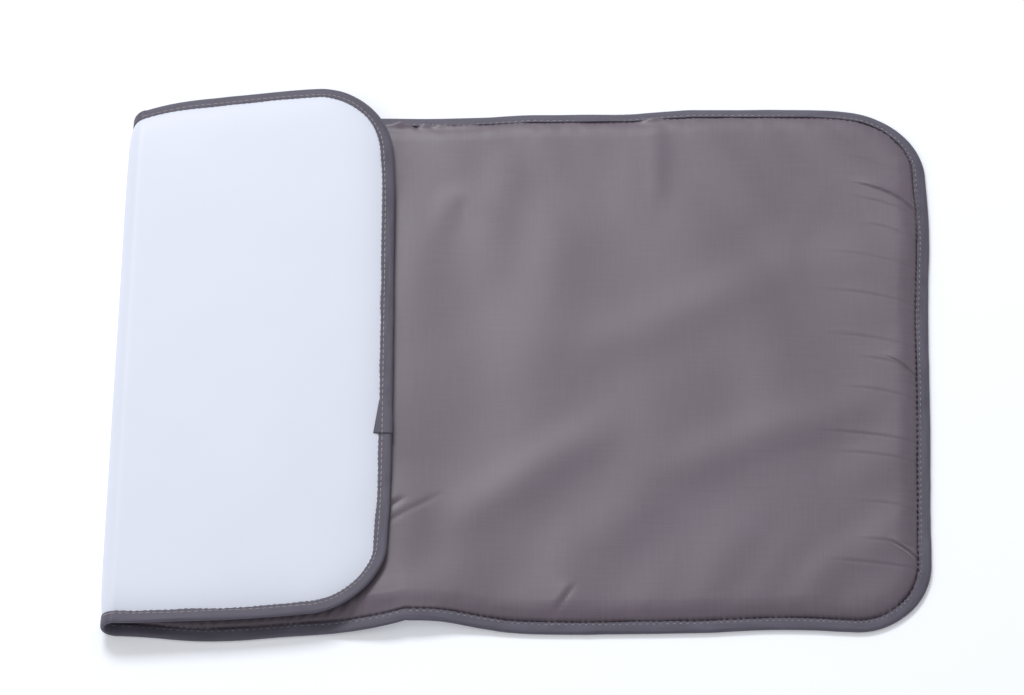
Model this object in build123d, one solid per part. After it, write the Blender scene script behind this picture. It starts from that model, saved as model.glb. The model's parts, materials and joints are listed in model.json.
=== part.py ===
from build123d import *
import math
import os

# A soft changing pad: a face fabric, a sheet of wadding and a wipe-clean backing, bound all round
# with a folded tape that is sewn through. It folds across its width at three places.
# It is drawn open and flat, with its left end at x = 0 and its backing on z = 0. Then the left
# panel is folded over, and the pad is moved so that its base centre is at the origin.
# All sizes are in millimetres.

# Overall size, open and flat
pad_length = 700.0
pad_width = 400.0
corner_radius = 50.0

# Layers
face_thickness = 0.6
wadding_thickness = 6.0
backing_thickness = 0.8
wadding_in_seam = 1.2

# Binding tape, folded over the edge, and its sewing thread
tape_thickness = 0.6
tape_width = 8.5
tape_to_field = 0.3
seam_margin = 1.6
thread_width = 0.5
thread_height = 0.4

# The tape's cut end, lapped over its start on the folded panel's free edge
lap_thickness = 0.5
lap_length = 25.0
lap_end_y = -60.0

# Folds
flap_length = 172.0
end_fold_width = 4.0
free_edge_margin = 2.0
rest_clearance = 0.5
stack_clearance = 0.6
hinge_gap = 0.5

# Worked out from the sizes above
pad_thickness = backing_thickness + wadding_thickness + face_thickness
seam_thickness = backing_thickness + wadding_in_seam + face_thickness
edge_height = seam_thickness + 2 * tape_thickness
field_inset = tape_width + tape_to_field
seam_inset = tape_width - seam_margin - thread_width
flap_edge_bottom = pad_thickness - lap_thickness - edge_height

# A folded end panel slopes down from its fold to its free edge
inner_panel_length = flap_length + free_edge_margin
flap_slope = math.degrees(math.atan((end_fold_width - rest_clearance) / flap_length))
end_fold_turn = (180 + flap_slope) / 2

# The centre fold closes over both folded end panels, thickest at their own folds
centre_fold_width = 2 * (pad_thickness + rest_clearance) + stack_clearance
far_gap = 2 * (pad_thickness + end_fold_width) + stack_clearance
centre_slope = math.degrees(math.atan((far_gap - centre_fold_width) / inner_panel_length))
centre_fold_turn = (180 - centre_slope) / 2

remaining = pad_length - flap_length - inner_panel_length - centre_fold_width - 2 * end_fold_width
tail_length = (remaining - free_edge_margin) / 2
outer_panel_length = tail_length + free_edge_margin

# Stations along the open pad: where each panel and each fold strip ends
flap_end = flap_length
inner_start = flap_end + end_fold_width
inner_end = inner_start + inner_panel_length
outer_start = inner_end + centre_fold_width
outer_end = outer_start + outer_panel_length
tail_start = outer_end + end_fold_width


def plate(inset, low, high):
    """The pad's outline, moved inwards, between two heights."""
    outline = RectangleRounded(pad_length - 2 * inset, pad_width - 2 * inset, corner_radius - inset)
    return Pos(pad_length / 2, 0, low) * extrude(outline, high - low)


def binding(edge_bottom):
    """The tape: a channel that opens inwards and grips the three layers."""
    low = edge_bottom
    high = edge_bottom + edge_height
    channel = plate(0, low, high) - plate(tape_thickness, low + tape_thickness, high - tape_thickness)
    return channel - plate(tape_width, low - 1, high + 1)


def wadding(edge_bottom):
    """A full-height field with a thin squeezed margin that runs out under the tape."""
    seam_low = edge_bottom + tape_thickness + backing_thickness
    seam_high = seam_low + wadding_in_seam
    margin = plate(tape_thickness, seam_low, seam_high)
    lower = plate(field_inset + backing_thickness, backing_thickness, seam_high)
    upper = plate(field_inset + face_thickness, seam_low, pad_thickness - face_thickness)
    return margin + lower + upper


def backing(edge_bottom):
    """A shallow tray below the wadding, with a margin that runs out under the tape."""
    seam_low = edge_bottom + tape_thickness
    seam_high = seam_low + backing_thickness
    sheet = plate(tape_thickness, seam_low, seam_high) + plate(field_inset, 0, seam_high)
    return sheet - plate(field_inset + backing_thickness, backing_thickness, seam_high + 1)


def face_fabric(edge_bottom):
    """The same tray above the wadding, opening downwards."""
    seam_high = edge_bottom + edge_height - tape_thickness
    seam_low = seam_high - face_thickness
    sheet = plate(tape_thickness, seam_low, seam_high) + plate(field_inset, seam_low, pad_thickness)
    return sheet - plate(field_inset + face_thickness, seam_low - 1, pad_thickness - face_thickness)


def stitching(edge_bottom, on_backing_side):
    """One line of sewing thread along the tape, on the side that shows."""
    low = edge_bottom + edge_height
    if on_backing_side:
        low = edge_bottom - thread_height
    line = plate(seam_inset, low, low + thread_height)
    return line - plate(seam_inset + thread_width, low - 1, low + thread_height + 1)


def lap_end():
    """The tape's last stretch, wrapped over its start."""
    low = flap_edge_bottom - lap_thickness
    high = flap_edge_bottom + edge_height + lap_thickness
    corner = (Align.MIN, Align.MIN, Align.MIN)
    cover = Box(tape_width + lap_thickness, lap_length, high - low, align=corner)
    inside = Box(tape_width + 1, lap_length + 2, edge_height, align=corner)
    thread = Box(thread_width, lap_length + 2, thread_height, align=corner)
    lap = Pos(-lap_thickness, lap_end_y, low) * cover
    lap -= Pos(0, lap_end_y - 1, flap_edge_bottom) * inside
    return lap - Pos(seam_inset, lap_end_y - 1, flap_edge_bottom - thread_height) * thread


def between(start, end):
    """The slice of the open pad that one panel or fold strip keeps."""
    low = start + hinge_gap / 2 if start > 0 else start - 1
    high = end - hinge_gap / 2 if end < pad_length else end + 1
    slice_box = Box(high - low, pad_width + 2, 4 * pad_thickness)
    return Pos((low + high) / 2, 0, 0) * slice_box


def hinge_at(x):
    """A fold's axis: across the pad, in the face fabric's surface."""
    return Axis((x, 0, pad_thickness), (0, 1, 0))


def fold_flap_strip(shape):
    return shape.rotate(hinge_at(inner_start), end_fold_turn)


def fold_flap(shape):
    return fold_flap_strip(shape.rotate(hinge_at(flap_end), end_fold_turn))


def leave_flat(shape):
    return shape


# name, start, end, height of the tape's underside, thread on the backing side, how it is folded
sections = [
    ("flap", 0, flap_end, flap_edge_bottom, True, fold_flap),
    ("flap_fold", flap_end, inner_start, flap_edge_bottom / 2, True, fold_flap_strip),
    ("inner_panel", inner_start, inner_end, 0, False, leave_flat),
    ("centre_fold", inner_end, outer_start, 0, False, leave_flat),
    ("outer_panel", outer_start, outer_end, 0, False, leave_flat),
    ("tail_fold", outer_end, tail_start, 0, False, leave_flat),
    ("tail", tail_start, pad_length, 0, False, leave_flat),
]

pieces = {}
for name, start, end, edge_bottom, on_backing_side, folded in sections:
    kept = between(start, end)
    pieces[f"face_fabric_{name}"] = folded(face_fabric(edge_bottom) & kept)
    pieces[f"wadding_{name}"] = folded(wadding(edge_bottom) & kept)
    pieces[f"backing_{name}"] = folded(backing(edge_bottom) & kept)
    pieces[f"binding_{name}"] = folded(binding(edge_bottom) & kept)
    pieces[f"stitching_{name}"] = folded(stitching(edge_bottom, on_backing_side) & kept)
pieces["binding_lap_end"] = fold_flap(lap_end())

# The origin is the centre of the base of the folded pad
low_x = min(piece.bounding_box().min.X for piece in pieces.values())
high_x = max(piece.bounding_box().max.X for piece in pieces.values())
middle_x = (low_x + high_x) / 2

os.makedirs("parts", exist_ok=True)
for name, piece in pieces.items():
    export_step(Pos(-middle_x, 0, 0) * piece, f"parts/{name}.step")

# The hinges of the folded pad, for its record
turn = math.radians(end_fold_turn)
flap_hinge_x = inner_start - end_fold_width * math.cos(turn)
flap_hinge_z = pad_thickness + end_fold_width * math.sin(turn)
hinges = [
    ("flap_fold", inner_start, pad_thickness, end_fold_turn),
    ("flap", flap_hinge_x, flap_hinge_z, end_fold_turn),
    ("centre_fold", inner_end, pad_thickness, centre_fold_turn),
    ("outer_panel", outer_start, pad_thickness, centre_fold_turn),
    ("tail_fold", outer_end, pad_thickness, end_fold_turn),
    ("tail", tail_start, pad_thickness, end_fold_turn),
]
for name, x, z, limit in hinges:
    print(f"hinge {name} x {x - middle_x:.4f} z {z:.4f} turns {limit:.4f} degrees")
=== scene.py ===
import json
import math

import bpy
import numpy as np
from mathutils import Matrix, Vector


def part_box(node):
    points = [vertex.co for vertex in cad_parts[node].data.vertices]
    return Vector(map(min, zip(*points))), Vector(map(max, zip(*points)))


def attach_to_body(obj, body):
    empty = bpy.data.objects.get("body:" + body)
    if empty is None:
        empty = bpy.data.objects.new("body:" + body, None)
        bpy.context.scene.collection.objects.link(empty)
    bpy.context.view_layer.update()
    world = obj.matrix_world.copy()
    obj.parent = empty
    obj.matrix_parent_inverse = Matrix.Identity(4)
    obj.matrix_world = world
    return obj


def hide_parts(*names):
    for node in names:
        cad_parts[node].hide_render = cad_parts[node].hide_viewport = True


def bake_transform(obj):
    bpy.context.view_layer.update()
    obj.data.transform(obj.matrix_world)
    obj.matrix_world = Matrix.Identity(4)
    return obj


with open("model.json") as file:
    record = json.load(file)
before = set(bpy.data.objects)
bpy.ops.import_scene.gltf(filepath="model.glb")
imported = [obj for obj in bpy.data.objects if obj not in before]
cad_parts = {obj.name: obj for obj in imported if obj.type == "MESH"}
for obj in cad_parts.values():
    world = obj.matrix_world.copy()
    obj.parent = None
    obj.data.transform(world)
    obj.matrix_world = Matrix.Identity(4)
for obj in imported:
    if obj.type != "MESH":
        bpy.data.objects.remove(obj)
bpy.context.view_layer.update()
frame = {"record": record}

# ---------------------------------------------------------------- sizes, in metres
MM = 0.001
STITCH_PITCH = 4.3 * MM
STITCH_LENGTH = 3.8 * MM
THREAD_RADIUS = 0.33 * MM
TAPE_THICKNESS = 0.55 * MM
TAPE_WIDTH = 8.5 * MM
FACE_LEG = 7.7 * MM
SEAM_FROM_EDGE = 6.4 * MM
EDGE_HEIGHT = 3.1 * MM
FLAP_EDGE_LIFT = 1.8 * MM
CORNER_RADIUS = 50 * MM
SHEET_INSET = 1.2 * MM
LAP_SLIP = 4 * MM
LAP_FLARE = 3.6 * MM

joints = {j["name"]: j for j in frame["record"]["behaviour"]["joints"]}


def hinge(name):
    x, _, z = joints[name]["pos_m"]
    return x, z


# The pad laid open: s runs along it and equals x on the part that lies on the floor
fold_x, face_z = hinge("flap_fold_lower")
flap_hinge_x, flap_hinge_z = hinge("flap_fold_upper")
strip = math.hypot(flap_hinge_x - fold_x, flap_hinge_z - face_z)
fold_angle = 2 * math.radians(joints["flap_fold_lower"]["range_deg"][1])
fold_radius = strip / 2
half_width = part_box("binding_inner_panel")[1].y
flap_length = (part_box("binding_flap")[1].x - flap_hinge_x) / abs(math.cos(fold_angle))
s_left = fold_x - strip - flap_length
s_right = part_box("binding_tail")[1].x
s_middle = (s_left + s_right) / 2
half_length = (s_right - s_left) / 2
flap_edge_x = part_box("binding_flap")[1].x
lap_from, lap_to = (corner.y - LAP_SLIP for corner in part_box("binding_lap_end"))

centre_hinges = hinge("centre_fold_inner")[0], hinge("centre_fold_outer")[0]
tail_hinges = hinge("tail_fold_inner")[0], hinge("tail_fold_outer")[0]
centre_x = sum(centre_hinges) / 2
tail_x = sum(tail_hinges) / 2


# ---------------------------------------------------------------- smooth functions of place
def smooth(low, high, value):
    t = np.clip((value - low) / (high - low), 0, 1)
    return t * t * (3 - 2 * t)


def bell(value, centre, width):
    return np.exp(-(((value - centre) / width) ** 2))


def noise(x, y, size, seed):
    """Smooth lattice noise from -1 to 1, with one bump per size."""
    lattice = np.random.default_rng(seed).uniform(-1, 1, (128, 128))
    u, v = np.asarray(x) / size + 40.3, np.asarray(y) / size + 40.7
    i, j = np.floor(u).astype(int), np.floor(v).astype(int)
    fu, fv = u - i, v - j
    fu, fv = fu * fu * fu * (fu * (6 * fu - 15) + 10), fv * fv * fv * (fv * (6 * fv - 15) + 10)
    at = lambda a, b: lattice[a % 128, b % 128]
    low = at(i, j) * (1 - fu) + at(i + 1, j) * fu
    high = at(i, j + 1) * (1 - fu) + at(i + 1, j + 1) * fu
    return low * (1 - fv) + high * fv


def edge_distance(s, y):
    """How far a place on the open pad is inside its rounded outline."""
    qs = np.abs(s - s_middle) - (half_length - CORNER_RADIUS)
    qy = np.abs(y) - (half_width - CORNER_RADIUS)
    outside = np.hypot(np.maximum(qs, 0), np.maximum(qy, 0))
    return CORNER_RADIUS - outside - np.minimum(np.maximum(qs, qy), 0)


def folded(s):
    """0 on the part that lies on the floor, 1 on the flap, and between them round the fold."""
    return np.clip((fold_x - s) / strip, 0, 1)


def edge_lift(s, y, d):
    """Height of the tape's underside: it slopes up with the puffed pad, d in from its edge."""
    d = np.minimum(d, TAPE_WIDTH)
    flap = smooth(fold_x + 2 * MM, fold_x - strip - 2 * MM, s)
    hump = 4.9 * MM * bell(s, -0.074, 0.036) * smooth(-0.6 * half_width, -0.9 * half_width, y)
    on_floor = (0.15 + 0.13 * y / half_width) * d + hump
    on_flap = FLAP_EDGE_LIFT + (0.06 + 0.20 * y / half_width) * (TAPE_WIDTH - d)
    return on_floor * (1 - flap) + on_flap * flap


def beside_tape(s, y):
    return edge_distance(s, y) - FACE_LEG


def beside_curve(x, y, start, bend, end, reach, steps=20):
    """Each place's distance from a bent line given in mm, positive behind it, and how far along."""
    t = np.linspace(0, 1, steps)[:, None]
    route = (1 - t) ** 2 * np.array(start) + 2 * t * (1 - t) * np.array(bend) + t**2 * np.array(end)
    route = route * MM
    low, high = route.min(0) - reach * MM, route.max(0) + reach * MM
    near = (x > low[0]) & (x < high[0]) & (y > low[1]) & (y < high[1])
    all_far, all_along = np.full(np.shape(x), 9.0), np.zeros(np.shape(x))
    x, y = x[near], y[near]
    best, along = all_far[near], all_along[near]
    for k, (p, q) in enumerate(zip(route[:-1], route[1:])):
        step = q - p
        u = np.clip(((x - p[0]) * step[0] + (y - p[1]) * step[1]) / (step @ step), 0, 1)
        dx, dy = x - p[0] - u * step[0], y - p[1] - u * step[1]
        far = np.hypot(dx, dy) * np.sign((step[0] * dy - step[1] * dx) * step[0])
        closer = np.abs(far) < np.abs(best)
        best = np.where(closer, far, best)
        along = np.where(closer, (k + u) / (steps - 1), along)
    all_far[near], all_along[near] = best, along
    return all_far, all_along


def crease(x, y, start, bend, end, width, depth):
    """A sharp fold that starts at the seam: the cloth behind it lies over a little, and fades."""
    far, along = beside_curve(x, y, start, bend, end, 18 * width)
    across = far / (width * MM)
    over = 0.5 * (1 + np.tanh(across / 0.45)) * np.exp(-np.maximum(across, 0) / 3.2)
    return depth * MM * smooth(1.02, 0.55, along) * (over - 0.65 * np.exp(-((across + 0.2) ** 2)))


def ridge(x, y, start, bend, end, width, height):
    """A broad soft swell along a curve, fading at both ends."""
    far, along = beside_curve(x, y, start, bend, end, 3.5 * width)
    fade = smooth(0, 0.3, along) * smooth(1, 0.7, along)
    return height * MM * np.exp(-((far / (width * MM)) ** 2)) * fade


def relaxed_sheet():
    """A flat sheet of face fabric, a little larger than the seam that holds it, left to settle.

    It gives the height of the wrinkles on a grid over the laid-open pad.
    """
    step = 5 * MM
    s = np.arange(s_left, s_right + step / 2, step)
    y = np.arange(-half_width, half_width + step / 2, step)
    ss, yy = np.meshgrid(s, y, indexing="ij")
    held = edge_distance(ss, yy) < TAPE_WIDTH
    start = np.random.default_rng(7).uniform(-0.3 * MM, 0.3 * MM, ss.shape) * ~held
    points = np.stack([ss, yy, start], -1).reshape(-1, 3)
    mesh = bpy.data.meshes.new("relaxing")
    mesh.from_pydata(points.tolist(), [], grid_faces(*ss.shape).tolist())
    sheet = bpy.data.objects.new("relaxing", mesh)
    bpy.context.scene.collection.objects.link(sheet)
    group = sheet.vertex_groups.new(name="seam")
    group.add(np.nonzero(held.ravel())[0].tolist(), 1.0, "REPLACE")
    group.add(np.nonzero(~held.ravel())[0].tolist(), 0.01, "REPLACE")
    cloth = sheet.modifiers.new("cloth", "CLOTH")
    rules = cloth.settings
    rules.quality = 5
    rules.mass = 0.15
    rules.tension_stiffness = rules.compression_stiffness = 10
    rules.shear_stiffness = 3
    rules.bending_stiffness = 5
    rules.vertex_group_mass = "seam"
    rules.shrink_min = -0.010
    rules.use_pressure = True
    rules.uniform_pressure_force = 1.0
    rules.effector_weights.gravity = 0
    for number in range(1, 21):
        bpy.context.scene.frame_set(number)
    settled = sheet.evaluated_get(bpy.context.evaluated_depsgraph_get()).data
    height = np.empty(3 * len(settled.vertices))
    settled.vertices.foreach_get("co", height)
    height = height.reshape(*ss.shape, 3)[..., 2]
    bpy.context.scene.frame_set(1)
    bpy.data.objects.remove(sheet)
    bpy.data.meshes.remove(mesh)
    dome = blurred(height, 7)
    return s, y, np.clip(blurred(height, 1) - dome, -3 * MM, 3 * MM)


def blurred(grid, reach):
    """A grid smoothed three times over the reach, in cells."""
    for axis in (0, 1):
        for _ in range(3):
            pad = [(reach, reach) if k == axis else (0, 0) for k in (0, 1)]
            wide = np.pad(grid, pad, mode="edge")
            total = np.cumsum(np.insert(wide, 0, 0, axis=axis), axis=axis)
            count = grid.shape[axis]
            high = np.take(total, np.arange(count) + 2 * reach + 1, axis=axis)
            grid = (high - np.take(total, np.arange(count), axis=axis)) / (2 * reach + 1)
    return grid


def sampled(sheet, s, y):
    """The relaxed sheet's height at places between its grid points, as a smooth spline."""
    gs, gy, grid = sheet
    u = np.clip((s - gs[0]) / (gs[1] - gs[0]), 1, len(gs) - 2)
    v = np.clip((y - gy[0]) / (gy[1] - gy[0]), 1, len(gy) - 2)
    i, j = np.rint(u).astype(int), np.rint(v).astype(int)
    weights_u = [0.5 * (0.5 - (u - i)) ** 2, 0.75 - (u - i) ** 2, 0.5 * (0.5 + (u - i)) ** 2]
    weights_v = [0.5 * (0.5 - (v - j)) ** 2, 0.75 - (v - j) ** 2, 0.5 * (0.5 + (v - j)) ** 2]
    total = 0
    for a, wu in zip((-1, 0, 1), weights_u):
        for b, wv in zip((-1, 0, 1), weights_v):
            total = total + wu * wv * grid[i + a, j + b]
    return total


def lower_relief(x, y):
    """Undulation of the grey face on the part that lies on the floor, its places in mm."""
    relief = 0.28 * sampled(RELAXED, x, y)
    turn = math.radians(38)
    along = x * math.cos(turn) + y * math.sin(turn)
    across = -x * math.sin(turn) + y * math.cos(turn)
    relief = relief + 0.35 * MM * noise(along, across * 2.0, 0.10, 3)
    # soft diagonal swells, from the flap's front corner up to the right
    relief = relief + ridge(x, y, (-70, -150), (0, -75), (75, -42), 17, 1.1)
    relief = relief + ridge(x, y, (-108, -202), (-106, -145), (-98, -70), 44, 2.2)
    relief = relief + ridge(x, y, (85, -95), (135, -55), (250, -30), 18, 1.1)
    relief = relief + ridge(x, y, (20, 0), (110, 35), (210, 95), 20, 0.9)
    relief = relief + ridge(x, y, (-62, 70), (-50, 185), (-12, 85), 10, 0.55)
    relief = relief + ridge(x, y, (86, 196), (92, 165), (86, 110), 8, 0.45)
    # short soft folds beside the flap, and one near the front seam
    relief = relief + crease(x, y, (-95, -118), (-86, -109), (-76, -103), 2.8, 0.80)
    relief = relief + crease(x, y, (-88, -122), (-70, -111), (-50, -97), 2.8, 0.32)
    relief = relief + crease(x, y, (18, -186), (26, -174), (32, -164), 2.2, 0.7)
    return relief


def right_folds(x, y):
    """Three sharp folds drawn in from the right seam, with finer ones between them."""
    folds = crease(x, y, (259, 116), (244, 137), (214, 141), 0.7, 1.35)
    folds = folds + crease(x, y, (258, -12), (250, -2), (234, 6), 0.7, 1.3)
    folds = folds + crease(x, y, (258, -148), (249, -139), (236, -134), 1.0, 1.3)
    random = np.random.default_rng(5)
    for place_along in np.arange(-160, 160, 25):
        start = place_along + random.uniform(-9, 9)
        reach, depth = random.uniform(40, 70), random.uniform(0.18, 0.32)
        rise = start + 11 + 0.04 * start
        bend, end = (257 - reach / 2, rise), (257 - reach, rise)
        folds = folds + crease(x, y, (257, start), bend, end, 1.3, depth)
    return folds


def tuck_phase(s, y):
    """A steady count of stitches along the nearest straight edge."""
    along_end = np.abs(s - s_middle) - half_length > np.abs(y) - half_width
    return np.where(along_end, y, s) / STITCH_PITCH


def face_height(s, y):
    """The grey face's height over the underside, puffed up from the seam."""
    inside = beside_tape(s, y)
    under_flap = smooth(flap_edge_x, flap_edge_x - 70 * MM, s) * (1 - folded(s))
    seam = edge_lift(s, y, edge_distance(s, y)) + EDGE_HEIGHT - TAPE_THICKNESS
    top = face_z + 0.1 * MM - 0.7 * MM * under_flap
    near = 1 - np.exp(-np.maximum(inside, 0) / (4.5 * MM))
    far = 1 - np.exp(-np.maximum(inside, 0) / (32 * MM))
    dimple = 0.75 + 0.40 * np.cos(2 * math.pi * tuck_phase(s, y)) + 0.5 * noise(s, y, 0.011, 41)
    pull = 2.3 - 1.5 * smooth(0.82 * half_width, 0.95 * half_width, y)
    groove = pull * MM * dimple * np.exp(-(((inside - 0.6 * MM) / (0.9 * MM)) ** 2))
    gather = 0.35 * MM * noise(s, y, 0.0065, 42) * np.exp(-np.maximum(inside, 0) / (6 * MM)) * near
    open_part = (1 - folded(s)) * (1 - 0.8 * under_flap)
    relief = lower_relief(s, y) * smooth(0, 14 * MM, inside)
    relief = relief + right_folds(s, y) * smooth(0, 1 * MM, inside)
    under_front = smooth(-0.090, -0.110, s) * (1 - folded(s)) * (y < 0)
    waves = 0.55 * MM * np.sin(s / (1.1 * MM) + 5 * noise(s, y, 0.02, 44))
    gathers = waves * under_front * smooth(26 * MM, 3 * MM, inside)
    rise = 0.70 * near + 0.30 * far
    height = seam + (top - seam) * rise - groove + gather + relief * open_part + gathers * near
    return np.maximum(height, backing_height(s, y) + 0.6 * MM)


def face_shift(s, y):
    """How far the puffed face bulges out over the back tape, where the seam is puckered."""
    inside = beside_tape(s, y)
    where = bell(s, -0.078, 0.018) * (0.6 + 1.1 * noise(s, 0 * s, 0.0055, 51))
    small = 0.4 * np.maximum(noise(s, 0 * s, 0.012, 52), 0) * smooth(0.10, -0.05, s)
    where = where + 0.8 * bell(s, 0.086, 0.006) + small
    where = where * (y > 0) * (1 - folded(s))
    return where * 2.3 * MM * np.exp(-(((inside - 1.2 * MM) / (2.0 * MM)) ** 2))


def backing_height(s, y):
    """The white backing's height over the underside."""
    seam = edge_lift(s, y, edge_distance(s, y)) + TAPE_THICKNESS
    field = -0.3 * MM * folded(s) + 0.05 * MM
    inside = edge_distance(s, y) - TAPE_WIDTH
    rise = 1 - np.exp(-np.maximum(inside, 0) / (8 * MM))
    relief = folded(s) * (0.30 * MM * noise(s, y, 0.09, 21) + 0.10 * MM * noise(s, y, 0.035, 22))
    return seam + (field - seam) * rise + relief * rise


# ---------------------------------------------------------------- from the open pad to the folded one
def place(s, y, h):
    """A point of the open pad, at height h over its underside, in its place at rest."""
    depth = face_z - h + fold_radius
    angle = fold_angle * folded(s)
    past = np.maximum(fold_x - strip - s, 0)
    before = np.maximum(s - fold_x, 0)
    x = fold_x - depth * np.sin(angle) - past * math.cos(fold_angle) + before
    z = face_z + fold_radius - depth * np.cos(angle) + past * math.sin(fold_angle)
    return drape(s, x, np.asarray(y) + 0 * x, z)


def drape(s, x, y, z):
    """How the soft pad really lies: its edges a little out of line, and not quite flat."""
    flap = smooth(fold_x, fold_x - strip, s)
    along = np.clip((x - fold_x) / flap_length, 0, 1)
    back = smooth(0.35 * half_width, half_width, y)
    front = smooth(-0.35 * half_width, -half_width, y)
    from_fold = x - (fold_x - fold_radius - face_z)

    # the part on the floor
    lower = 1 - flap
    dy = back * lower * (-4.2 * smooth(0.118, 0.060, x) - 1.2 * smooth(0.005, -0.030, x))
    dy = dy + 2.0 * back * lower * smooth(-0.060, 0.010, x) * smooth(0.240, 0.200, x)
    dy = dy + front * lower * (6.8 * bell(x, -0.058, 0.038) - 4.8 * bell(x, -0.198, 0.046))
    dy = dy + front * lower * 3.2 * bell(x, 0.170, 0.060)
    lift = smooth(-0.4 * half_width, -half_width, y) * lower * 1.7 * bell(x, -0.074, 0.036)
    dy = dy + 1.6 * front * lower * np.exp(-np.abs(x + 0.0765) / 0.006)
    right = smooth(0.120, 0.265, x)
    dx = right * (36 * y - 0.7 * bell(y, 0.035, 0.030) + 0.8 * bell(y, 0.097, 0.022))
    corner = bell(np.hypot(x - 0.251, y - 0.185), 0, 0.050)
    dx = dx - 3.9 * corner
    dy = dy - 2.6 * corner

    # the flap: higher at its free end, and a little towards the back
    dy = dy + flap * back * (-2.5 + 13.5 * smooth(-0.15, 0.85, along))
    dy = dy + flap * front * (0.3 + 4.2 * smooth(-0.10, 0.90, along))
    dy = dy + flap * (1 - back - front) * (3.6 * along + 4 * along * y / half_width)
    dy = dy + flap * along * (2.6 + 0.5 * y / half_width)
    lift = lift + flap * along * (1.3 + 0.5 * y / half_width)
    tuck = bell(np.hypot(x - flap_edge_x + 0.0146, y + 0.1854), 0, 0.050) * flap
    dx = dx - 3.8 * tuck
    dy = dy + 3.6 * tuck
    tuck = bell(np.hypot(x - flap_edge_x + 0.0146, y - 0.1854), 0, 0.045) * flap
    dx = dx - 3.6 * tuck
    dy = dy - 1.2 * tuck

    # the fold line, a little askew, and drawn in at the back
    dx = dx + 12.6 * y * smooth(0.150, 0, from_fold)
    dy = dy - 8 * smooth(0.5 * half_width, half_width, y) * np.clip(1 - from_fold / 0.046, 0, 1) ** 2
    return x + dx * MM, y + dy * MM, z + lift * MM


# ---------------------------------------------------------------- meshes
def new_mesh(name, points, faces, uv, material, normals=None):
    mesh = bpy.data.meshes.new(name)
    mesh.from_pydata([tuple(p) for p in points], [], [tuple(f) for f in faces])
    mesh.validate()
    layer = mesh.uv_layers.new(name="UVMap")
    corner = np.empty(len(mesh.loops), int)
    mesh.loops.foreach_get("vertex_index", corner)
    layer.data.foreach_set("uv", np.asarray(uv, np.float32)[corner].ravel())
    mesh.polygons.foreach_set("use_smooth", [True] * len(mesh.polygons))
    mesh.materials.append(material)
    if normals is not None:
        mesh.normals_split_custom_set_from_vertices([tuple(n) for n in normals])
    piece = bpy.data.objects.new(name, mesh)
    bpy.context.scene.collection.objects.link(piece)
    return piece


def grid_faces(lines, columns, flip=False):
    """The faces of a grid of points, stored line by line."""
    a = (np.arange(lines - 1)[:, None] * columns + np.arange(columns - 1)[None, :]).ravel()
    quads = np.stack([a, a + 1, a + columns + 1, a + columns], 1)
    return quads[:, ::-1] if flip else quads


def grid_normals(x, y, z):
    """Normals of a whole grid, so that its separate pieces shade as one surface."""
    p = np.stack([x, y, z], -1)
    along, across = np.gradient(p, axis=0), np.gradient(p, axis=1)
    n = np.cross(across, along)
    return n / np.maximum(np.linalg.norm(n, axis=-1, keepdims=True), 1e-12)


splits = [
    s_left,
    fold_x - strip / 2,
    (fold_x + centre_hinges[0]) / 2,
    centre_x,
    (centre_hinges[1] + tail_hinges[0]) / 2,
    tail_x,
    s_right,
]
SPANS = ["flap", "fold", "inner", "centre", "outer", "tail"]


def stations():
    """Places along the pad, close together at its ends and where it folds."""
    end = CORNER_RADIUS * (1 - np.cos(np.radians(np.linspace(0, 90, 46))))
    first, last = s_left + end, s_right - end[::-1]
    fold = np.linspace(fold_x, fold_x - strip, 33)
    near = np.concatenate([
        np.linspace(h - 6 * MM, h + 6 * MM, 9) for h in (*centre_hinges, *tail_hinges)
    ])
    plain = np.arange(s_left + CORNER_RADIUS, s_right - CORNER_RADIUS, 1.8 * MM)
    apart = np.abs(plain[:, None] - np.concatenate([fold, near, splits])[None, :]).min(1)
    plain = plain[apart > 0.9 * MM]
    every = np.unique(np.round(np.concatenate([first, last, fold, near, splits, plain]), 7))
    gaps = np.diff(every) > 0.04 * MM
    keep = np.concatenate([[True], gaps])
    for split in splits:
        keep[np.argmin(np.abs(every - split))] = True
    return every[keep]


S = stations()
SPLIT_AT = [int(np.argmin(np.abs(S - split))) for split in splits]


def rows(count):
    """Places across the pad, from -1 to 1, close together at the seams."""
    reach = half_width - SHEET_INSET
    edge = [0, 2, 4, 5.5, 6.3, 6.7, 7.1, 7.5, 7.9, 8.4, 9, 9.8, 10.8, 12, 13.4, 15, 17.5, 20.2]
    edge = np.array(edge) * MM
    inner = np.linspace(20.2 * MM, reach, count)[1:]
    half = np.concatenate([edge, inner]) / reach
    return np.concatenate([half - 1, (1 - half[::-1])[1:]])


def sheet_grid(height, across, shift=None):
    """A whole sheet of the pad: its places, and its grid of stations by rows."""
    inset = SHEET_INSET
    from_end = np.minimum(S - s_left, s_right - S)
    reach = np.clip((CORNER_RADIUS - from_end) / (CORNER_RADIUS - inset), 0, 1)
    half = half_width - CORNER_RADIUS + (CORNER_RADIUS - inset) * np.sqrt(1 - reach**2)
    drawn_in = np.interp(from_end, [0, CORNER_RADIUS], [inset, CORNER_RADIUS])
    s = np.where(from_end < CORNER_RADIUS, drawn_in, from_end)
    s = np.where(S < s_middle, s_left + s, s_right - s)
    ss = np.repeat(s[:, None], len(across), 1)
    yy = half[:, None] * across[None, :]
    hh = height(ss, yy)
    if shift:
        moved = shift(ss, yy)
        yy = yy + moved
        hh = hh + 0.75 * moved
    return ss, yy, hh


RELAXED = relaxed_sheet()


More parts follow.
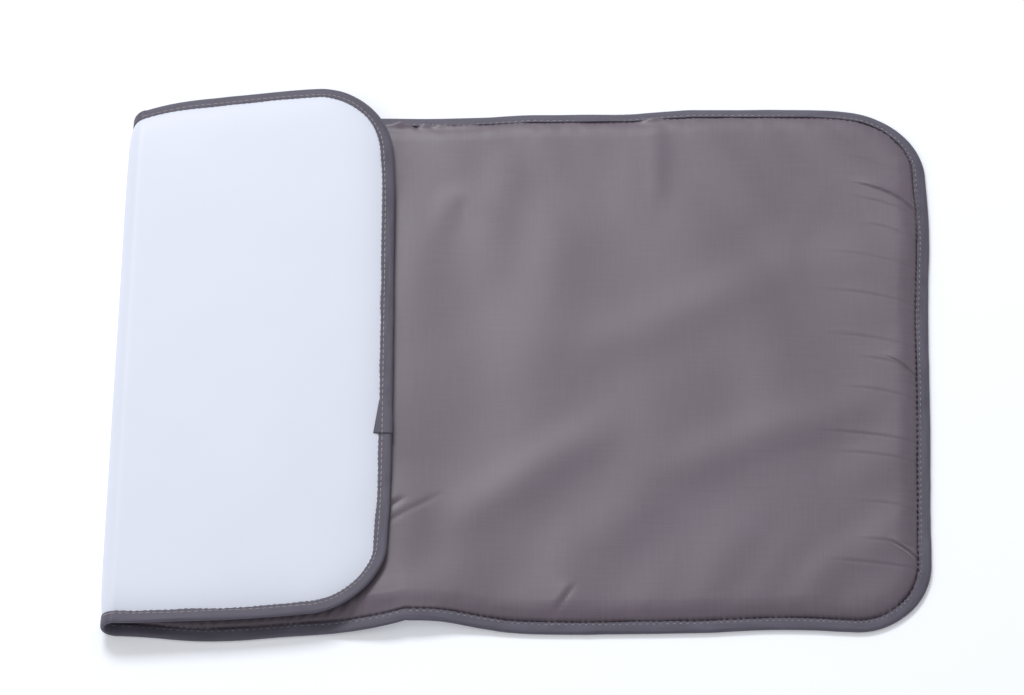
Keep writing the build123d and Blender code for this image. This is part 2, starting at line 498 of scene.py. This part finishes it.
def sheet_pieces(kind, height, material, flip, across, shift=None):
    """One sheet of the pad in six pieces, flipped when it faces down."""
    ss, yy, hh = sheet_grid(height, across, shift)
    x, y, z = place(ss, yy, hh)
    normals = grid_normals(x, y, z) * (1 if flip else -1)
    made = []
    for k, span in enumerate(SPANS):
        cut = slice(SPLIT_AT[k], SPLIT_AT[k + 1] + 1)
        points = np.stack([x[cut], y[cut], z[cut]], -1).reshape(-1, 3)
        uv = np.stack([ss[cut], yy[cut]], -1).reshape(-1, 2)
        n = normals[cut].reshape(-1, 3)
        faces = grid_faces(len(points) // len(across), len(across), flip=not flip)
        made.append(new_mesh(f"{kind}_{span}", points, faces, uv, material, n))
    return made


# ---------------------------------------------------------------- the bound edge
def outline():
    """The pad's outline once round from under the lapped end: place, way inwards and length so far."""
    first, last = s_left + CORNER_RADIUS - 1e-6, s_right - CORNER_RADIUS + 1e-6
    straight = S[(S >= first) & (S <= last)]
    arc = np.radians(np.linspace(0, 90, 40))[1:-1]
    across = np.linspace(-(half_width - CORNER_RADIUS), half_width - CORNER_RADIUS, 170)
    cx, cy = half_length - CORNER_RADIUS, half_width - CORNER_RADIUS

    def corner(turn):
        """A quarter circle, a quarter turn further round for each corner."""
        side_x, side_y = (1, 1, -1, -1)[turn], (-1, 1, 1, -1)[turn]
        found = []
        for a in arc:
            sin, cos = math.sin(a), math.cos(a)
            out_x, out_y = ((sin, -cos), (cos, sin), (-sin, cos), (-cos, -sin))[turn]
            s = s_middle + side_x * cx + CORNER_RADIUS * out_x
            found.append((s, side_y * cy + CORNER_RADIUS * out_y, -out_x, -out_y))
        return found

    points = [(s, -half_width, 0, 1) for s in straight]
    points += corner(0)
    points += [(s_right, y, -1, 0) for y in across]
    points += corner(1)
    points += [(s, half_width, 0, -1) for s in straight[::-1]]
    points += corner(2)
    points += [(s_left, y, 1, 0) for y in across[::-1]]
    points += corner(3)
    points = np.array(points)
    lap_middle = s_left, (lap_from + lap_to) / 2
    start = int(np.argmin(np.hypot(*(points[:, :2] - lap_middle).T)))
    points = np.roll(points, -start, axis=0)
    steps = np.hypot(*np.diff(np.vstack([points, points[:1]])[:, :2], axis=0).T)
    return points, np.concatenate([[0], np.cumsum(steps)])


OUTLINE, RUN = outline()
STITCHES = round(RUN[-1] / STITCH_PITCH)
PITCH = RUN[-1] / STITCHES


def closing(run):
    """1 along the tape, and 0 where its run starts and ends, so that its ripples meet there."""
    return smooth(0, 20 * MM, run) * smooth(RUN[-1], RUN[-1] - 20 * MM, run)


def tape_profile(offset=0.0):
    """The folded tape's section: distance in from the outline, and height above its underside."""
    outer = [
        (7.7, 3.62), (7.1, 3.84), (6.4, 3.66), (5.4, 3.84), (3.6, 3.86), (1.9, 3.72), (0.9, 3.38),
        (0.25, 2.8), (0.0, 1.9), (0.25, 1.0), (0.9, 0.42), (1.9, 0.12), (3.6, 0.02), (5.4, 0.02),
        (6.4, 0.14), (7.5, 0.02), (8.5, 0.06),
    ]
    inner = [
        (8.4, 0.5), (6.4, 0.62), (3.4, 0.55), (1.6, 0.75), (0.75, 1.3), (0.6, 1.9),
        (0.75, 2.5), (1.6, 3.1), (3.4, 3.28), (6.4, 3.16), (7.6, 3.2),
    ]
    section = np.array(outer + inner) * MM
    section[:, 1] *= EDGE_HEIGHT / (3.86 * MM)
    if offset:
        middle = EDGE_HEIGHT / 2
        section[:, 1] = middle + (section[:, 1] - middle) * (EDGE_HEIGHT + 2 * offset) / EDGE_HEIGHT
        section[:, 0] -= offset * smooth(3 * MM, 0.5 * MM, section[:, 0])
    return section


def tape_ripple(run, s, d, side):
    """How far each leg of the tape stands off, less where its back lies on the floor."""
    on_leg = smooth(1.0 * MM, 6.5 * MM, d)
    ripple = noise(run, d * 1.5, 0.008, 31) * 0.26 * MM + noise(run, 0 * run, 0.026, 32) * 0.18 * MM
    pull = 0.16 * MM * np.cos(2 * math.pi * run / PITCH) * bell(d, SEAM_FROM_EDGE + 1.4 * MM, 1.4 * MM)
    on_floor = (side < 0) & (s > fold_x)
    return on_leg * (ripple * closing(run) + pull) * np.where(on_floor, 0.25, 1.0)


def tape_grid():
    """The whole tape: its points, normals and flat places, outline points by section points."""
    section = tape_profile()
    run = RUN[:-1, None]
    d, h = section[:, 0][None, :], section[:, 1][None, :]
    under, over = h < EDGE_HEIGHT / 2, h > EDGE_HEIGHT / 2
    edge = smooth(7 * MM, 8.3 * MM, d) * under + smooth(6.8 * MM, 7.6 * MM, d) * over
    scallop = 0.24 * MM * np.cos(2 * math.pi * run / PITCH)
    scallop = scallop + 0.35 * MM * noise(run, 0 * run, 0.016, 33) * closing(run)
    d = d + edge * scallop
    s = OUTLINE[:, 0:1] + OUTLINE[:, 2:3] * d
    y = OUTLINE[:, 1:2] + OUTLINE[:, 3:4] * d
    side = np.sign(h - EDGE_HEIGHT / 2)
    height = edge_lift(s, y, d) + h + side * tape_ripple(run, s, d, side)
    slack = 0.30 * noise(run, 0 * run, 0.030, 34) + 0.10 * noise(run, 0 * run, 0.009, 35)
    slack = closing(run) * MM * slack
    s, y = s - OUTLINE[:, 2:3] * slack, y - OUTLINE[:, 3:4] * slack
    x, y, z = place(s, y, height)
    points = np.stack([x, y, z], -1)
    ahead = np.roll(points, -1, 0) - np.roll(points, 1, 0)
    around = np.roll(points, -1, 1) - np.roll(points, 1, 1)
    normals = np.cross(around, ahead)
    normals /= np.maximum(np.linalg.norm(normals, axis=-1, keepdims=True), 1e-12)
    length = np.concatenate([[0], np.cumsum(np.hypot(*np.diff(section, axis=0).T))])
    uv = np.stack(np.broadcast_arrays(run, length[None, :]), -1)
    return points, normals, uv


def tube_faces(rings, count):
    """The faces of an open tube of rings with so many points each."""
    faces = []
    for i in range(rings - 1):
        for j in range(count):
            k = (j + 1) % count
            faces.append((i * count + j, i * count + k, (i + 1) * count + k, (i + 1) * count + j))
    return faces


def tape_strip(grid, index):
    """The stretch of the tape along a run of outline points."""
    points, normals, uv = (part[index] for part in grid)
    faces = tube_faces(len(index), points.shape[1])
    return points.reshape(-1, 3), faces, uv.reshape(-1, 2), normals.reshape(-1, 3)


def join_lists(parts):
    """Several sets of points, faces, flat places and normals as one."""
    points, faces, uv, normals, base = [], [], [], [], 0
    for p, f, t, *n in parts:
        points.append(p)
        uv.append(t)
        normals += n
        faces += [tuple(v + base for v in face) for face in f]
        base += len(p)
    normals = np.concatenate(normals) if normals else None
    return np.concatenate(points), faces, np.concatenate(uv), normals


def span_runs(k):
    """Which outline points belong to one span, as unbroken runs."""
    low, high = splits[k] - 1e-6, splits[k + 1] + 1e-6
    inside = (OUTLINE[:, 0] >= low) & (OUTLINE[:, 0] <= high)
    n = len(OUTLINE)
    starts = [i for i in range(n) if inside[i] and not inside[i - 1]]
    runs = []
    for i in starts:
        run = [i]
        while inside[(run[-1] + 1) % n] and (run[-1] + 1) % n != i:
            run.append((run[-1] + 1) % n)
        runs.append(run)
    return runs


def tape_pieces(material):
    made = []
    grid = tape_grid()
    for k, span in enumerate(SPANS):
        strips = [tape_strip(grid, np.array(run)) for run in span_runs(k)]
        points, faces, uv, normals = join_lists(strips)
        made.append(new_mesh(f"tape_{span}", points, faces, uv, material, normals))
    return made


def lap_piece(material):
    """The tape's cut end, lapped over its start on the flap's free edge."""
    steps = np.linspace(lap_from, lap_to, 30)
    points, uv = [], []
    for y0 in steps:
        t = (y0 - lap_from) / (lap_to - lap_from)
        outer = tape_profile(offset=(0.50 - 0.48 * smooth(0.35, 1, t)) * MM)[:17]
        inner = tape_profile(offset=-0.05 * MM)[:17][::-1]
        section = np.concatenate([outer, inner])
        d, h = section[:, 0].copy(), section[:, 1]
        leg = smooth(6 * MM, 8.4 * MM, d) * (h < EDGE_HEIGHT / 2)
        d += LAP_FLARE * (1 - t) * leg
        h = h - 0.30 * MM * leg * (1 - t)
        s = s_left + d
        x, y, z = place(s, np.full(len(s), y0), edge_lift(s, y0, d) + h)
        points.append(np.stack([x, y, z], -1))
        uv.append(np.stack([np.full(len(s), y0), np.cumsum(np.full(len(s), 0.5 * MM))], -1))
    count = len(points[0])
    faces = tube_faces(len(steps), count)
    last = (len(steps) - 1) * count
    for j in range(count // 2 - 1):
        strip_end = (j, j + 1, count - 2 - j, count - 1 - j)
        faces.append(strip_end[::-1])
        faces.append(tuple(last + v for v in strip_end))
    return new_mesh("tape_lap_end", np.concatenate(points), faces, np.concatenate(uv), material)


def outline_at(length):
    """Place and inward direction at a length along the outline."""
    length = np.mod(length, RUN[-1])
    wrapped = np.vstack([OUTLINE, OUTLINE[:1]])
    return [np.interp(length, RUN, wrapped[:, c]) for c in range(4)]


def stitch_pieces(material):
    """Every stitch of the lockstitch seam, on both faces of the tape."""
    rings, sides = 7, 6
    t = np.linspace(0, 1, rings)
    radius = THREAD_RADIUS * np.sqrt(np.maximum(1 - (2 * t - 1) ** 4, 0.02))
    arch = 0.30 * MM * (1 - (2 * t - 1) ** 2) - 0.16 * MM
    turn = np.linspace(0, 2 * math.pi, sides, endpoint=False)
    random = np.random.default_rng(11)
    by_span = {k: [] for k in range(len(SPANS))}
    for n in range(STITCHES):
        slant = random.uniform(-0.12, 0.28) * MM
        for side in (1, -1):
            run = (n + 0.5) * PITCH + (t - 0.5) * STITCH_LENGTH
            s0, y0, ns, ny = outline_at(run)
            inwards = SEAM_FROM_EDGE + slant * (t - 0.5) * 2
            sunk = 0.20 * MM if side > 0 else 0.0
            level = EDGE_HEIGHT - 0.30 * MM if side > 0 else 0.10 * MM
            low_side_down = 0.12 * MM if side < 0 else 0.0
            d = inwards[:, None] + radius[:, None] * np.cos(turn)[None, :]
            raised = arch[:, None] - low_side_down + radius[:, None] * np.sin(turn)[None, :]
            h = level - sunk + side * raised
            s = s0[:, None] + ns[:, None] * d
            y = y0[:, None] + ny[:, None] * d
            on_lap = smooth(lap_from, lap_from + 1 * MM, y) * smooth(lap_to, lap_from, y)
            over_lap = (side < 0) * (s < s_left + 12 * MM) * on_lap
            stand = side * tape_ripple(np.mod(run, RUN[-1])[:, None], s, d, side)
            height = edge_lift(s, y, d) + h - 0.75 * MM * over_lap + stand
            lay = np.maximum(height, 0.0) if side < 0 else height
            middle = float(s0[rings // 2])
            k = int(np.clip(np.searchsorted(splits, middle) - 1, 0, len(SPANS) - 1))
            px, py, pz = place(s, y, np.where(folded(s) > 0, height, lay))
            points = np.stack([px, py, pz], -1).reshape(-1, 3)
            uv = np.stack(np.broadcast_arrays(run[:, None], turn[None, :] * 0.001), -1).reshape(-1, 2)
            faces = tube_faces(rings, sides)
            faces.append(tuple(range(sides - 1, -1, -1)))
            faces.append(tuple(range((rings - 1) * sides, rings * sides)))
            if side < 0:
                faces = [f[::-1] for f in faces]
            by_span[k].append((points, faces, uv))
    made = []
    for k, span in enumerate(SPANS):
        points, faces, uv, _ = join_lists(by_span[k])
        made.append(new_mesh(f"thread_{span}", points, faces, uv, material))
    return made


# ---------------------------------------------------------------- materials
def new_material(name, colour, roughness):
    material = bpy.data.materials.new(name)
    material.use_nodes = True
    nodes, links = material.node_tree.nodes, material.node_tree.links
    shader = nodes["Principled BSDF"]
    shader.inputs["Base Color"].default_value = (*colour, 1)
    shader.inputs["Roughness"].default_value = roughness
    return material, nodes, links, shader


def uv_metres(nodes, links, scale=(1, 1, 1), turn=0.0):
    """Places on the laid-open sheet, in metres, times a scale."""
    uv = nodes.new("ShaderNodeUVMap")
    uv.uv_map = "UVMap"
    mapping = nodes.new("ShaderNodeMapping")
    mapping.inputs["Scale"].default_value = scale
    mapping.inputs["Rotation"].default_value = (0, 0, turn)
    links.new(uv.outputs["UV"], mapping.inputs["Vector"])
    return mapping.outputs["Vector"]


def noise_value(nodes, links, vector, scale, detail=2.0, roughness=0.5):
    node = nodes.new("ShaderNodeTexNoise")
    node.inputs["Scale"].default_value = scale
    node.inputs["Detail"].default_value = detail
    node.inputs["Roughness"].default_value = roughness
    links.new(vector, node.inputs["Vector"])
    return node.outputs["Fac"]


def threads(nodes, links, pitch, axis, turn=0.0):
    """One set of threads as a wave, whose bands repeat every pi / (10 * scale) metres."""
    wave = nodes.new("ShaderNodeTexWave")
    wave.wave_type = "BANDS"
    wave.bands_direction = axis
    wave.inputs["Scale"].default_value = math.pi / (10 * pitch)
    wave.inputs["Distortion"].default_value = 0.6
    wave.inputs["Detail"].default_value = 1.0
    wave.inputs["Detail Scale"].default_value = 0.4
    links.new(uv_metres(nodes, links, turn=turn), wave.inputs["Vector"])
    return wave.outputs["Fac"]


def combine(nodes, links, operation, first, second):
    node = nodes.new("ShaderNodeMath")
    node.operation = operation
    for socket, value in zip(node.inputs, (first, second)):
        if isinstance(value, (int, float)):
            socket.default_value = value
        else:
            links.new(value, socket)
    return node.outputs[0]


def mixed(nodes, links, first, share, second, other_share):
    """Two values added, each times its share."""
    first = combine(nodes, links, "MULTIPLY", first, share)
    second = combine(nodes, links, "MULTIPLY", second, other_share)
    return combine(nodes, links, "ADD", first, second)


def scaled(nodes, links, value, low, high):
    node = nodes.new("ShaderNodeMapRange")
    node.inputs["To Min"].default_value = low
    node.inputs["To Max"].default_value = high
    links.new(value, node.inputs["Value"])
    return node.outputs["Result"]


def tinted(nodes, links, shader, dark, light, value):
    mix = nodes.new("ShaderNodeMix")
    mix.data_type = "RGBA"
    mix.inputs["A"].default_value = (*dark, 1)
    mix.inputs["B"].default_value = (*light, 1)
    links.new(value, mix.inputs["Factor"])
    links.new(mix.outputs["Result"], shader.inputs["Base Color"])


def bumped(nodes, links, shader, height, distance, strength=1.0):
    bump = nodes.new("ShaderNodeBump")
    bump.inputs["Strength"].default_value = strength
    bump.inputs["Distance"].default_value = distance
    links.new(height, bump.inputs["Height"])
    links.new(bump.outputs["Normal"], shader.inputs["Normal"])


def face_material():
    material, nodes, links, shader = new_material("grey_face_fabric", (0.185, 0.163, 0.196), 0.5)
    warp = noise_value(nodes, links, uv_metres(nodes, links, (30, 850, 1)), 1.0, 1.0)
    weft = noise_value(nodes, links, uv_metres(nodes, links, (850, 30, 1)), 1.0, 1.0)
    slubs = combine(nodes, links, "MULTIPLY", combine(nodes, links, "ADD", warp, weft), 0.5)
    along, across = threads(nodes, links, 0.5 * MM, "X"), threads(nodes, links, 0.5 * MM, "Y")
    weave = combine(nodes, links, "MULTIPLY", along, across)
    cloud = noise_value(nodes, links, uv_metres(nodes, links, (1, 1, 1), 0.6), 9.0, 3.0)
    tone = mixed(nodes, links, slubs, 0.6, cloud, 0.4)
    tinted(nodes, links, shader, (0.098, 0.074, 0.089), (0.164, 0.128, 0.170), tone)
    height = combine(nodes, links, "ADD", combine(nodes, links, "MULTIPLY", weave, 0.5), slubs)
    bumped(nodes, links, shader, height, 0.05 * MM, 0.8)
    links.new(scaled(nodes, links, cloud, 0.40, 0.48), shader.inputs["Roughness"])
    shader.inputs["Specular IOR Level"].default_value = 0.62
    shader.inputs["Sheen Weight"].default_value = 0.1
    shader.inputs["Sheen Roughness"].default_value = 0.4
    return material


def backing_material():
    material, nodes, links, shader = new_material("white_backing", (0.77, 0.80, 0.90), 0.42)
    grain = noise_value(nodes, links, uv_metres(nodes, links), 900.0, 2.0)
    cloud = noise_value(nodes, links, uv_metres(nodes, links), 14.0, 3.0)
    tinted(nodes, links, shader, (0.74, 0.77, 0.87), (0.79, 0.82, 0.92), cloud)
    bumped(nodes, links, shader, grain, 0.04 * MM, 0.6)
    links.new(scaled(nodes, links, grain, 0.40, 0.52), shader.inputs["Roughness"])
    shader.inputs["Specular IOR Level"].default_value = 0.4
    return material


def binding_material():
    material, nodes, links, shader = new_material("binding_tape", (0.112, 0.102, 0.132), 0.6)
    ribs = threads(nodes, links, 0.7 * MM, "X")
    cross = threads(nodes, links, 0.45 * MM, "Y")
    cloud = noise_value(nodes, links, uv_metres(nodes, links, (1, 3, 1)), 60.0, 3.0)
    weave = combine(nodes, links, "ADD", ribs, combine(nodes, links, "MULTIPLY", cross, 0.5))
    streaks = noise_value(nodes, links, uv_metres(nodes, links, (35, 650, 1)), 1.0, 2.0)
    mottle = mixed(nodes, links, cloud, 0.45, streaks, 0.45)
    tone = combine(nodes, links, "ADD", combine(nodes, links, "MULTIPLY", weave, 0.15), mottle)
    tinted(nodes, links, shader, (0.030, 0.026, 0.042), (0.150, 0.138, 0.184), tone)
    relief = combine(nodes, links, "ADD", weave, combine(nodes, links, "MULTIPLY", streaks, 4.0))
    bumped(nodes, links, shader, relief, 0.06 * MM, 0.8)
    links.new(scaled(nodes, links, cloud, 0.5, 0.68), shader.inputs["Roughness"])
    shader.inputs["Sheen Weight"].default_value = 0.12
    shader.inputs["Sheen Roughness"].default_value = 0.4
    return material


def thread_material():
    material, nodes, links, shader = new_material("sewing_thread", (0.20, 0.19, 0.23), 0.5)
    ply = threads(nodes, links, 0.6 * MM, "X", 0.5)
    tinted(nodes, links, shader, (0.28, 0.245, 0.265), (0.46, 0.41, 0.43), ply)
    bumped(nodes, links, shader, ply, 0.04 * MM, 0.8)
    links.new(scaled(nodes, links, ply, 0.45, 0.6), shader.inputs["Roughness"])
    shader.inputs["Sheen Weight"].default_value = 0.2
    return material


face_fabric = face_material()
white_backing = backing_material()
binding_tape = binding_material()
sewing_thread = thread_material()

faces_made = sheet_pieces("fabric", face_height, face_fabric, False, rows(200), face_shift)
backs_made = sheet_pieces("vinyl", backing_height, white_backing, True, rows(60))
tapes_made = tape_pieces(binding_tape)
stitches_made = stitch_pieces(sewing_thread)
lap_end = lap_piece(binding_tape)
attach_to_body(lap_end, "flap")
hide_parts("binding_lap_end")


# ---------------------------------------------------------------- which CAD parts each piece stands in for
low_hinge, high_hinge = Vector((fold_x, 0, face_z)), Vector((flap_hinge_x, 0, flap_hinge_z))
up, down = Vector((-1, 0, 1)).normalized(), Vector((-1, 0, -1)).normalized()

# Reaches before and after a hinge of the flap's fold for each layer, in mm; attach works out a blend
# span from them but does not use it
FOLD_REACH = {
    "face": (2.1, 2.8),
    "backing": (5.2, 7.0),
    "binding": (2.5, 4.2),
    "stitching": (2.5, 4.2),
}
# The same for the hinges of the other two folds, in metres
CENTRE_REACH = 7 * MM
TAIL_OUTSIDE, TAIL_INSIDE = 5 * MM, 2 * MM
LAYER_NODE = {
    "face": "face_fabric",
    "backing": "backing",
    "binding": "binding",
    "stitching": "stitching",
}
SPAN_BODIES = {
    "flap": ("flap", "flap_fold"),
    "fold": ("flap_fold", "inner_panel"),
    "inner": ("inner_panel", "centre_fold"),
    "centre": ("centre_fold", "outer_panel"),
    "outer": ("outer_panel", "tail_fold"),
    "tail": ("tail_fold", "tail"),
}


def attach(piece, layer, span):
    """Bake a piece's place into its mesh and hide the CAD nodes it stands for, with their wadding
    under the face and backing; the span over its hinge is worked out but not used for any blend.
    """
    before, after = (value * MM for value in FOLD_REACH[layer])
    a, b = SPAN_BODIES[span]
    if span == "flap":
        start, end = high_hinge - down * before, high_hinge + down * after
    elif span == "fold":
        below = before if layer == "face" else before + 2 * MM
        start, end = low_hinge + up * after, low_hinge - up * below
    elif span in ("inner", "centre"):
        x = centre_hinges[0] if span == "inner" else centre_hinges[1]
        start, end = x - CENTRE_REACH, x + CENTRE_REACH
    elif span == "outer":
        start, end = tail_hinges[0] - TAIL_OUTSIDE, tail_hinges[0] + TAIL_INSIDE
    else:
        start, end = tail_hinges[1] - TAIL_INSIDE, tail_hinges[1] + TAIL_OUTSIDE
    if span not in ("flap", "fold"):
        start, end = Vector((start, 0, 0)), Vector((end, 0, 0))
    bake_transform(piece)
    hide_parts(*(f"{LAYER_NODE[layer]}_{body}" for body in (a, b)))
    if layer in ("face", "backing"):
        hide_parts(*(f"wadding_{body}" for body in (a, b)))


made_by_layer = {
    "face": faces_made,
    "backing": backs_made,
    "binding": tapes_made,
    "stitching": stitches_made,
}
for layer, made in made_by_layer.items():
    for piece, span in zip(made, SPANS):
        attach(piece, layer, span)


# ---------------------------------------------------------------- stage
def stage():
    """A white floor, a large soft light behind the pad, a weak one at the left, and a pale world."""
    bpy.ops.mesh.primitive_plane_add(size=12, location=(0, 0, -0.0004))
    floor = bpy.context.object
    floor.name = "floor"
    material, _, _, shader = new_material("floor_white", (0.90, 0.92, 0.96), 0.9)
    shader.inputs["Specular IOR Level"].default_value = 0.0
    shader.inputs["Emission Color"].default_value = (0.97, 0.98, 1.0, 1)
    shader.inputs["Emission Strength"].default_value = 0.20
    floor.data.materials.append(material)

    def softbox(name, location, size, power, target=(0, 0, 0)):
        light = bpy.data.lights.new(name, "AREA")
        light.color = (0.965, 0.975, 1.0)
        light.shape = "RECTANGLE"
        light.size, light.size_y = size
        light.energy = power
        lamp = bpy.data.objects.new(name, light)
        lamp.location = location
        lamp.rotation_euler = (Vector(target) - Vector(location)).to_track_quat("-Z", "Y").to_euler()
        bpy.context.scene.collection.objects.link(lamp)
        return lamp

    softbox("back_softbox", (-1.0, 3.0, 3.2), (1.8, 1.3), 118)
    softbox("left_fill", (-1.8, -0.8, 1.8), (1.4, 1.4), 9)
    world = bpy.data.worlds.new("studio")
    bpy.context.scene.world = world
    world.use_nodes = True
    world.node_tree.nodes["Background"].inputs["Color"].default_value = (0.96, 0.97, 1.0, 1)
    world.node_tree.nodes["Background"].inputs["Strength"].default_value = 0.465


def camera():
    """A long lens, looking down at the pad from in front of its long side."""
    elevation = math.radians(58.6)
    distance, lens_mm = 3.345, 178.77
    target = Vector((-0.0083, 0.0147, 0))
    forward = Vector((0, math.cos(elevation), -math.sin(elevation)))
    data = bpy.data.cameras.new("camera")
    data.sensor_width = 36
    data.lens = lens_mm
    data.clip_end = 50
    made = bpy.data.objects.new("camera", data)
    made.location = target - forward * distance
    made.rotation_euler = forward.to_track_quat("-Z", "Y").to_euler()
    bpy.context.scene.collection.objects.link(made)
    bpy.context.scene.camera = made


stage()
camera()
bpy.context.scene.view_settings.view_transform = "Standard"
bpy.context.scene.view_settings.look = "None"
